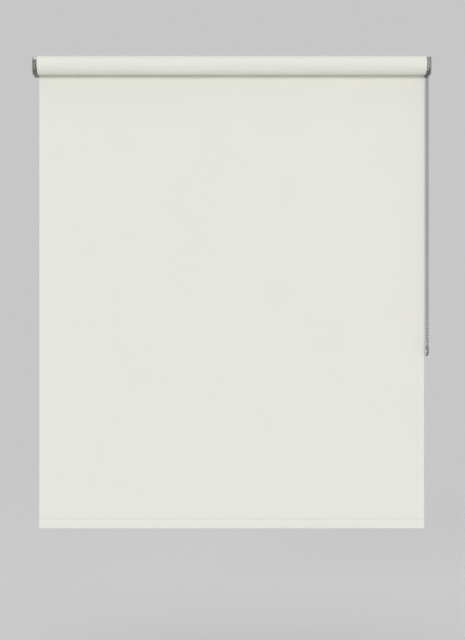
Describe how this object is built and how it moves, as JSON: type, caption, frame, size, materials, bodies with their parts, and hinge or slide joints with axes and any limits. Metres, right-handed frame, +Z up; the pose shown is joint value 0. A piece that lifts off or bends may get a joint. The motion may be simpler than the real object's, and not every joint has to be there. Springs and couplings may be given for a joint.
{
  "type": "roller blind",
  "caption": "Roller blind: plain off-white fabric on a tube between two brackets, with a bead-chain clutch, sprung idle pin, weighted hem and chain tidy.",
  "frame": {"origin": "on the roller's axis at mid-width", "axes": "+X along the roller to the control side, +Y towards the wall or window, +Z up"},
  "size_m": [1.09, 0.075, 1.3],
  "materials": {
    "fabric": "plain woven blackout cloth, coated, matt warm off-white",
    "coated_steel": "stone-grey powder coat",
    "white_plastic": "moulded, satin white",
    "grey_plastic": "moulded acetal, warm mid grey",
    "clear_plastic": "clear moulded plastic, slightly milky",
    "aluminium": "mill-finish extrusion",
    "zinc_steel": "zinc plated",
    "spring_steel": "oiled spring steel",
    "bead_chain": "nickel-plated bead chain, 4.5 mm beads at 6 mm"
  },
  "bodies": {
    "frame": {"control_bracket": "coated_steel", "idle_bracket": "coated_steel", "idle_bearing_cup": "white_plastic", "control_bracket_screw_upper": "zinc_steel", "control_bracket_screw_lower": "zinc_steel", "idle_bracket_screw_upper": "zinc_steel", "idle_bracket_screw_lower": "zinc_steel", "control_hub": "grey_plastic", "chain_guard": "grey_plastic", "hub_circlip": "spring_steel", "fabric_drop": "fabric", "chain_loop": "bead_chain", "chain_wrap": "bead_chain", "chain_tidy": "clear_plastic", "chain_tidy_screw": "zinc_steel"},
    "roller": {"roller_tube": "aluminium", "fabric_roll": "fabric", "fabric_spline": "white_plastic", "chain_sprocket": "grey_plastic", "drive_sleeve": "grey_plastic", "wrap_spring_outer": "spring_steel", "wrap_spring_inner": "spring_steel", "idle_plug": "grey_plastic", "spring_retainer": "zinc_steel"},
    "bottom_bar": {"hem_pocket": "fabric", "bottom_bar_lath": "aluminium", "lath_cap_right": "white_plastic", "lath_cap_left": "white_plastic"},
    "idle_pin": {"idle_pin": "zinc_steel", "pin_spring": "spring_steel"},
    "connector": {"chain_connector": "clear_plastic"},
    "stop_ball": {"chain_stop_ball": "clear_plastic"}
  },
  "joints": [
    {"name": "roller_spin", "type": "hinge", "parent": "frame", "child": "roller", "pos_m": [0, 0, 0], "axis": [1, 0, 0], "range_deg": [0, 2565]},
    {"name": "bar_lift", "type": "slide", "parent": "frame", "child": "bottom_bar", "axis": [0, 0, 1], "range_m": [0, 1.2], "deforming": ["fabric_drop"]},
    {"name": "connector_rise", "type": "slide", "parent": "frame", "child": "connector", "axis": [0, 0, 1], "range_m": [0, 0.69]},
    {"name": "stop_ball_drop", "type": "slide", "parent": "frame", "child": "stop_ball", "axis": [0, 0, -1], "range_m": [0, 0.69]},
    {"name": "pin_press", "type": "slide", "parent": "frame", "child": "idle_pin", "axis": [1, 0, 0], "range_m": [0, 0.007], "stiffness_N_per_m": 1500, "springref_m": -0.006, "deforming": ["pin_spring"]}
  ],
  "couplings": [
    {"joint": "bar_lift", "follows": "roller_spin", "m_per_rad": 0.0268},
    {"joint": "connector_rise", "follows": "roller_spin", "m_per_rad": 0.015279},
    {"joint": "stop_ball_drop", "follows": "roller_spin", "m_per_rad": 0.015279}
  ]
}
